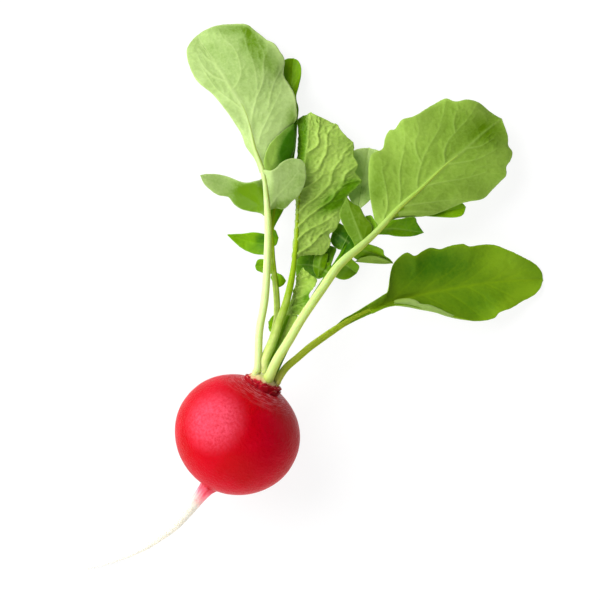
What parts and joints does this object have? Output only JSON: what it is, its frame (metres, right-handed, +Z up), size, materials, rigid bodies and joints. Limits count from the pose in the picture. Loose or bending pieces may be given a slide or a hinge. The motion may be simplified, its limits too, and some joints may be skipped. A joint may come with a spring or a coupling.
{
  "type": "radish with leaves",
  "caption": "Round red salad radish with a white tapering taproot and its lobed green leaves on long stalks, laid on its side as pulled.",
  "frame": {"origin": "middle of the small flat spot that the bulb rests on, on the surface the plant lies on", "axes": "+Z up from the surface; +Y from the bulb towards the leaf tips; +X to the right, seen from above with the leaves pointing away"},
  "size_m": [0.1149, 0.1374, 0.0312],
  "materials": {
    "root_skin": "thin smooth skin, crimson on the bulb and fading to ivory white along the taproot, softly shiny",
    "crown_scars": "dry tan to pale green, dull, with ragged dark red scales round it",
    "leaf_pale": "leaf seen from below: pale yellow green, satin, with raised paler midrib and veins",
    "leaf_deep": "leaf seen from above: deep green, satin, with a fine paler midrib and sunken veins"
  },
  "bodies": {
    "root": {"root": "root_skin", "crown": "crown_scars", "leaf_upper_left": "leaf_pale", "leaf_middle": "leaf_pale", "leaf_upper_right": "leaf_pale", "leaf_young": "leaf_pale", "leaf_back_left": "leaf_deep", "leaf_lower_right": "leaf_deep", "leaf_back_middle": "leaf_deep"}
  },
  "joints": []
}
